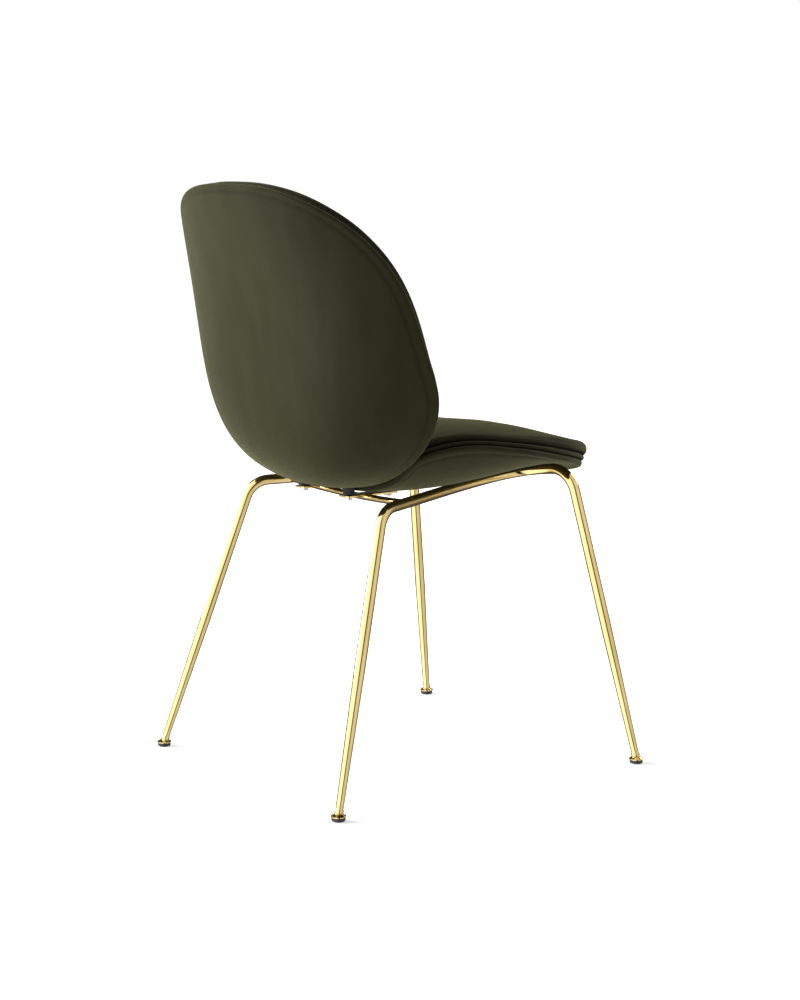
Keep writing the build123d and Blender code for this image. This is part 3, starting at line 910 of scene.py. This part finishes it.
    def _shade_creases(
        self, piece: bpy.types.Object, span_x: np.ndarray, span_s: np.ndarray
    ) -> None:
        """Store on each vertex how much painted shade it gets: full in the creases between two
        layers, fading out over the edge, and partly along the wrap's groove.

        Args:
            piece: The layer's object.
            span_x: Spoke ends across, from the middle.
            span_s: Spoke ends along, from the middle.
        """
        e = self.edge
        outer_is_crease = 0.0 if self.ply is Ply.WRAP else 1.0
        inner_is_crease = 0.0 if self.ply is Ply.CUSHION else 1.0
        per_row = []
        flat = np.zeros(self.spokes)
        shade = self.groove_shade if self.groove_depth else 0.0
        for t in self._ring_shares():
            from_rim = (1 - t) * np.hypot(span_x, span_s)
            groove = np.exp(-(((from_rim - self.groove_at) / self.groove_shade_width) ** 2))
            per_row.append(outer_is_crease + groove * shade)
        for _, depth in self._section():
            share = (depth - e.depth) / e.thickness
            near_outer = outer_is_crease * max(0.0, 1 - share / self.crease_reach)
            near_inner = inner_is_crease * max(0.0, 1 - (1 - share) / self.crease_reach)
            per_row.append(flat + max(near_outer, near_inner))
        per_row.extend(flat + inner_is_crease for _ in range(self.rings - 1))
        values = np.concatenate([*per_row, [outer_is_crease], [inner_is_crease]])
        layer = piece.data.attributes.new(CREASE_SHADE, "FLOAT", "POINT")
        layer.data.foreach_set("value", np.clip(values, 0.0, 1.0).astype(np.float32))

    def _ring_shares(self) -> np.ndarray:
        """Return how far out each ring of a face lies, closer together towards the rim."""
        return 1 - (1 - np.arange(1, self.rings) / self.rings) ** self.ring_crowding

    def _ring(
        self,
        span_x: np.ndarray,
        span_s: np.ndarray,
        middle_s: float,
        scale: np.ndarray | float,
        depth: float,
        inner: float,
    ) -> np.ndarray:
        """Return one ring of vertices.

        Args:
            span_x: Spoke ends across, from the middle.
            span_s: Spoke ends along, from the middle.
            middle_s: Where the middle is.
            scale: How far out the ring lies on each spoke.
            depth: Depth of the ring inwards.
            inner: 1 where the ring is on the inner face, which carries the crown.

        Returns:
            Positions, one row for each spoke.
        """
        scale = np.broadcast_to(scale, span_x.shape)
        x = span_x * scale
        s = middle_s + span_s * scale
        lift = inner * self.edge.crown * self.dish.hump(x, s)
        from_rim = (1 - scale) * np.hypot(span_x, span_s)
        profile = np.exp(-(((from_rim - self.groove_at) / self.groove_width) ** 2))
        groove = self.groove_depth * profile
        groove = groove * (1 - inner)
        uneven = self._ripple(x, s) * self.ripple * (1 if inner else 0.4)
        return self.dish.point(x, s, depth + lift + groove + uneven)

    def _ripple(self, x: np.ndarray, s: np.ndarray) -> np.ndarray:
        """Return slow unevenness of the stuffing at x across and s along."""
        seed = 10.0 * list(Ply).index(self.ply) + (5.0 if self.side is Side.BACK else 0.0)
        values = [noise.noise(Vector((14 * a, 14 * b, seed))) for a, b in zip(x, s)]
        return np.array(values)

    def _mesh(self, verts: np.ndarray, rows: int) -> bpy.types.Object:
        """Join the rings into a closed mesh.

        Args:
            verts: All ring vertices, then the two middle vertices.
            rows: How many rings there are.

        Returns:
            The new object.
        """
        n = self.spokes
        faces = []
        for r in range(rows - 1):
            for i in range(n):
                j = (i + 1) % n
                faces.append((r * n + i, (r + 1) * n + i, (r + 1) * n + j, r * n + j))
        first, last = rows * n, rows * n + 1
        for i in range(n):
            j = (i + 1) % n
            faces.append((first, i, j))
            faces.append((last, (rows - 1) * n + j, (rows - 1) * n + i))
        mesh = bpy.data.meshes.new(self.name)
        mesh.from_pydata(verts.tolist(), [], faces)
        tidy = bmesh.new()
        tidy.from_mesh(mesh)
        bmesh.ops.recalc_face_normals(tidy, faces=tidy.faces[:])
        tidy.to_mesh(mesh)
        tidy.free()
        mesh.shade_smooth()
        piece = bpy.data.objects.new(self.name, mesh)
        bpy.context.scene.collection.objects.link(piece)
        return piece

    def _dress(self, piece: bpy.types.Object) -> None:
        """Give the piece its material and its place in the frame.

        Args:
            piece: The piece to dress.
        """
        piece.data.materials.append(self.finish.material())
        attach(piece, BODY)
        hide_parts(*self.nodes)


@dataclass
class Upholstery:
    """The six velvet layers of the two shells."""

    velvet: Finish
    shift: float
    wrap_thickness: float = 0.0094
    layer_gap: float = 0.0003
    pad_thickness: float = 0.0084
    cushion_thickness: float = 0.0180
    seat_crown: float = 0.0150
    back_crown: float = 0.0120

    def build(self) -> list[bpy.types.Object]:
        """Build every layer of both shells.

        Returns:
            The pieces.
        """
        made = []
        for side, dish, crown in (
            (Side.BACK, BACK.moved(self.shift), self.back_crown),
            (Side.SEAT, SEAT.moved(self.shift), self.seat_crown),
        ):
            for ply in Ply:
                made.append(self._layer(side, dish, ply, crown).build())
        return made

    def _layer(self, side: Side, dish: Dish, ply: Ply, crown: float) -> DishedLayer:
        """Describe one layer.

        Args:
            side: Which shell it is on.
            dish: That shell's shape.
            ply: Which layer it is.
            crown: How much the cushion's middle stands up.

        Returns:
            The layer, ready to build.
        """
        pad_depth = self.wrap_thickness + self.layer_gap
        cushion_depth = pad_depth + self.pad_thickness + self.layer_gap
        shell = side.value
        wall = BACK.moved(self.shift)
        if ply is Ply.WRAP:
            outer = "seat_underside_cover" if side is Side.SEAT else "back_outer_cover"
            return DishedLayer(
                name=f"{shell}_wrap",
                side=side,
                ply=ply,
                dish=dish,
                wall=wall,
                edge=EdgeShape(0.0, self.wrap_thickness, 0.0034, 0.0046),
                finish=self.velvet,
                nodes=(outer, f"{shell}_shell"),
                groove_depth=0.0007,
                ripple=0.0003,
                fill=1.0,
            )
        if ply is Ply.EDGE_PAD:
            return DishedLayer(
                name=f"{shell}_soft_edge",
                side=side,
                ply=ply,
                dish=dish,
                wall=wall,
                edge=EdgeShape(pad_depth, self.pad_thickness, 0.0041, 0.0041, swell=0.0003),
                finish=self.velvet,
                nodes=(f"{shell}_edge_pad",),
                fill=0.9,
            )
        return DishedLayer(
            name=f"{shell}_top_cushion",
            side=side,
            ply=ply,
            dish=dish,
            wall=wall,
            edge=EdgeShape(
                cushion_depth, self.cushion_thickness, 0.0052, 0.0095, crown, swell=0.0006
            ),
            finish=self.velvet,
            nodes=(f"{shell}_cushion",),
            ripple=0.0011,
            fill=0.85,
        )


# ---------------------------------------------------------------------------------------------
# Frame finishes and studio
# ---------------------------------------------------------------------------------------------
@dataclass
class HardParts:
    """The CAD parts that stay as they are and get a better finish."""

    shelf: FinishShelf

    def dress(self, frame: dict) -> None:
        """Assign a finish to every CAD part by its material slot.

        Args:
            frame: The loaded frame.
        """
        finishes = self.shelf.by_slot()
        slots = {part["node"]: part["material_slot"] for part in frame["record"]["subparts"]}
        for name, node in frame["nodes"].items():
            material = finishes[slots[name]].material()
            for place in node.material_slots:
                place.material = material
            LOG.info("%s: %s", name, material.name)


@dataclass
class Studio:
    """A plain pale floor, soft light and the camera."""

    shift: float
    floor_half: float = 60.0
    paper_near: float = 0.5
    paper_far: float = 2.4
    paper_glow: float = 0.50
    floor_drop: float = 0.0004
    floor_tone: tuple[float, float, float] = (0.9, 0.9, 0.9)
    camera_at: tuple[float, float, float] = (-2.628, 1.8984, 0.9097)
    camera_azimuth: float = 233.94
    camera_elevation: float = 9.072
    lens: float = 78.42
    key_power: float = 300.0
    top_power: float = 16.0
    fill_power: float = 2.0
    front_power: float = 55.0
    room_tone: float = 0.10

    def build(self) -> None:
        """Make the floor, the lights, the surroundings and the camera."""
        self._floor()
        self._room()
        self._light("key_light", (2.9, 2.6, 2.0), (2.4, 2.6), self.key_power)
        self._light("top_light", (0.2, -0.3, 3.3), (2.6, 2.6), self.top_power)
        self._light("fill_light", (-3.2, -1.4, 1.3), (1.6, 2.2), self.fill_power)
        self._light("front_light", (0.4, -3.6, 2.2), (2.2, 2.2), self.front_power)
        self._camera()

    def _floor(self) -> None:
        """Make a large plain floor."""
        half = self.floor_half
        mesh = bpy.data.meshes.new("studio_floor")
        corners = [(-half, -half), (half, -half), (half, half), (-half, half)]
        mesh.from_pydata([(x, y, -self.floor_drop) for x, y in corners], [], [(0, 1, 2, 3)])
        floor = bpy.data.objects.new("studio_floor", mesh)
        bpy.context.scene.collection.objects.link(floor)
        paint = bpy.data.materials.new("studio_paper")
        paint.use_nodes = True
        tree = paint.node_tree
        shader = tree.nodes["Principled BSDF"]
        shader.inputs["Base Color"].default_value = (*self.floor_tone, 1.0)
        shader.inputs["Roughness"].default_value = 0.9
        shader.inputs["Specular IOR Level"].default_value = 0.0
        shader.inputs["Emission Color"].default_value = (1.0, 1.0, 1.0, 1.0)
        coords = tree.nodes.new("ShaderNodeTexCoord")
        away = tree.nodes.new("ShaderNodeVectorMath")
        away.operation = "LENGTH"
        tree.links.new(coords.outputs["Object"], away.inputs[0])
        glow = tree.nodes.new("ShaderNodeMapRange")
        glow.interpolation_type = "SMOOTHSTEP"
        tree.links.new(away.outputs["Value"], glow.inputs["Value"])
        glow.inputs["From Min"].default_value = self.paper_near
        glow.inputs["From Max"].default_value = self.paper_far
        glow.inputs["To Min"].default_value = self.paper_glow
        glow.inputs["To Max"].default_value = 1.0
        tree.links.new(glow.outputs["Result"], shader.inputs["Emission Strength"])
        path = tree.nodes.new("ShaderNodeLightPath")
        clear = tree.nodes.new("ShaderNodeBsdfTransparent")
        choice = tree.nodes.new("ShaderNodeMixShader")
        tree.links.new(path.outputs["Is Glossy Ray"], choice.inputs["Fac"])
        tree.links.new(shader.outputs["BSDF"], choice.inputs[1])
        tree.links.new(clear.outputs["BSDF"], choice.inputs[2])
        tree.links.new(choice.outputs["Shader"], tree.nodes["Material Output"].inputs["Surface"])
        mesh.materials.append(paint)

    def _room(self) -> None:
        """Make the surroundings: plain and pale, with darker bands that polished metal shows."""
        world = bpy.data.worlds.new("studio_room")
        world.use_nodes = True
        tree = world.node_tree
        background = tree.nodes["Background"]
        coords = tree.nodes.new("ShaderNodeTexCoord")
        parts = tree.nodes.new("ShaderNodeSeparateXYZ")
        tree.links.new(coords.outputs["Generated"], parts.inputs["Vector"])
        turn = NodeGroupShelf._math(tree, "ARCTAN2", parts.outputs["Y"], parts.outputs["X"])
        seen_from = math.radians(self.camera_azimuth - 90.0)
        bands = (
            (seen_from + math.radians(13.0), math.radians(9.0), 1.0, 0.02),
            (seen_from - math.radians(62.0), math.radians(52.0), 1.0, 2.1),
            (seen_from + math.radians(180.0), math.radians(72.0), 1.0, 0.10),
        )
        tones = [self._band(tree, turn, *band) for band in bands]
        both = tones[0]
        for tone in tones[1:]:
            both = NodeGroupShelf._math(tree, "MULTIPLY", both, tone)
        path = tree.nodes.new("ShaderNodeLightPath")
        level = tree.nodes.new("ShaderNodeMix")
        level.data_type = "FLOAT"
        tree.links.new(path.outputs["Is Glossy Ray"], level.inputs["Factor"])
        level.inputs["A"].default_value = self.room_tone
        tree.links.new(both, level.inputs["B"])
        seen = tree.nodes.new("ShaderNodeMix")
        seen.data_type = "FLOAT"
        tree.links.new(path.outputs["Is Camera Ray"], seen.inputs["Factor"])
        tree.links.new(level.outputs["Result"], seen.inputs["A"])
        seen.inputs["B"].default_value = 1.0
        tree.links.new(seen.outputs["Result"], background.inputs["Strength"])
        background.inputs["Color"].default_value = (1.0, 1.0, 1.0, 1.0)
        bpy.context.scene.world = world

    @staticmethod
    def _band(
        tree: bpy.types.NodeTree,
        turn: bpy.types.NodeSocket,
        centre: float,
        half: float,
        outside: float,
        inside: float,
    ) -> bpy.types.NodeSocket:
        """Change the surroundings' brightness in a band of directions.

        Args:
            tree: The world's node tree.
            turn: The direction's angle in plan.
            centre: The band's middle, in radians.
            half: Half the band's width.
            outside: Brightness outside the band.
            inside: Brightness at the band's middle.

        Returns:
            The brightness socket.
        """
        wrapped = math.atan2(math.sin(centre), math.cos(centre))
        gap = NodeGroupShelf._math(tree, "SUBTRACT", turn, wrapped)
        away = NodeGroupShelf._math(tree, "COSINE", gap)
        node = tree.nodes.new("ShaderNodeMapRange")
        node.interpolation_type = "SMOOTHSTEP"
        tree.links.new(away, node.inputs["Value"])
        node.inputs["From Min"].default_value = math.cos(1.3 * half)
        node.inputs["From Max"].default_value = math.cos(0.7 * half)
        node.inputs["To Min"].default_value = outside
        node.inputs["To Max"].default_value = inside
        return node.outputs["Result"]

    def _light(
        self,
        name: str,
        place: tuple[float, float, float],
        size: tuple[float, float],
        power: float,
    ) -> None:
        """Add a soft rectangular light that faces the chair.

        Args:
            name: Name of the light.
            place: Where it stands.
            size: Its width and height.
            power: Its power in watts.
        """
        data = bpy.data.lights.new(name, "AREA")
        data.shape = "RECTANGLE"
        data.size, data.size_y = size
        data.energy = power
        lamp = bpy.data.objects.new(name, data)
        bpy.context.scene.collection.objects.link(lamp)
        lamp.location = place
        aim = Vector((0.0, 0.0, 0.5)) - Vector(place)
        lamp.rotation_mode = "QUATERNION"
        lamp.rotation_quaternion = aim.to_track_quat("-Z", "Y")

    def _camera(self) -> None:
        """Add the camera, behind the chair on the sitter's right."""
        data = bpy.data.cameras.new("studio_camera")
        data.lens = self.lens
        data.sensor_width = 36.0
        data.clip_end = 60.0
        camera = bpy.data.objects.new("studio_camera", data)
        bpy.context.scene.collection.objects.link(camera)
        a, e = math.radians(self.camera_azimuth), math.radians(self.camera_elevation)
        back = Vector((math.sin(a) * math.cos(e), -math.cos(a) * math.cos(e), math.sin(e)))
        camera.location = Vector(self.camera_at) + Vector((0.0, self.shift, 0.0))
        camera.rotation_mode = "QUATERNION"
        camera.rotation_quaternion = (-back).to_track_quat("-Z", "Y")
        bpy.context.scene.camera = camera


def write_sizes() -> None:
    """Update the view layer.
    """
    bpy.context.view_layer.update()


def centre_shift() -> float:
    """Return how far along Y the CAD places the middle between its front and rear feet."""
    corners = [*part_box("glide_rear_left"), *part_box("glide_front_left")]
    return sum(corner.y for corner in corners) / len(corners)


def main() -> None:
    """Build the chair's looks in order and report each piece."""
    logging.basicConfig(level=logging.INFO, format="%(name)s %(message)s")
    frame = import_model()
    shelf = FinishShelf()
    HardParts(shelf).dress(frame)
    shift = centre_shift()
    Upholstery(shelf.velvet(), shift).build()
    Studio(shift).build()
    bpy.context.scene.view_settings.view_transform = "Standard"
    write_sizes()


if __name__ == "__main__":
    main()
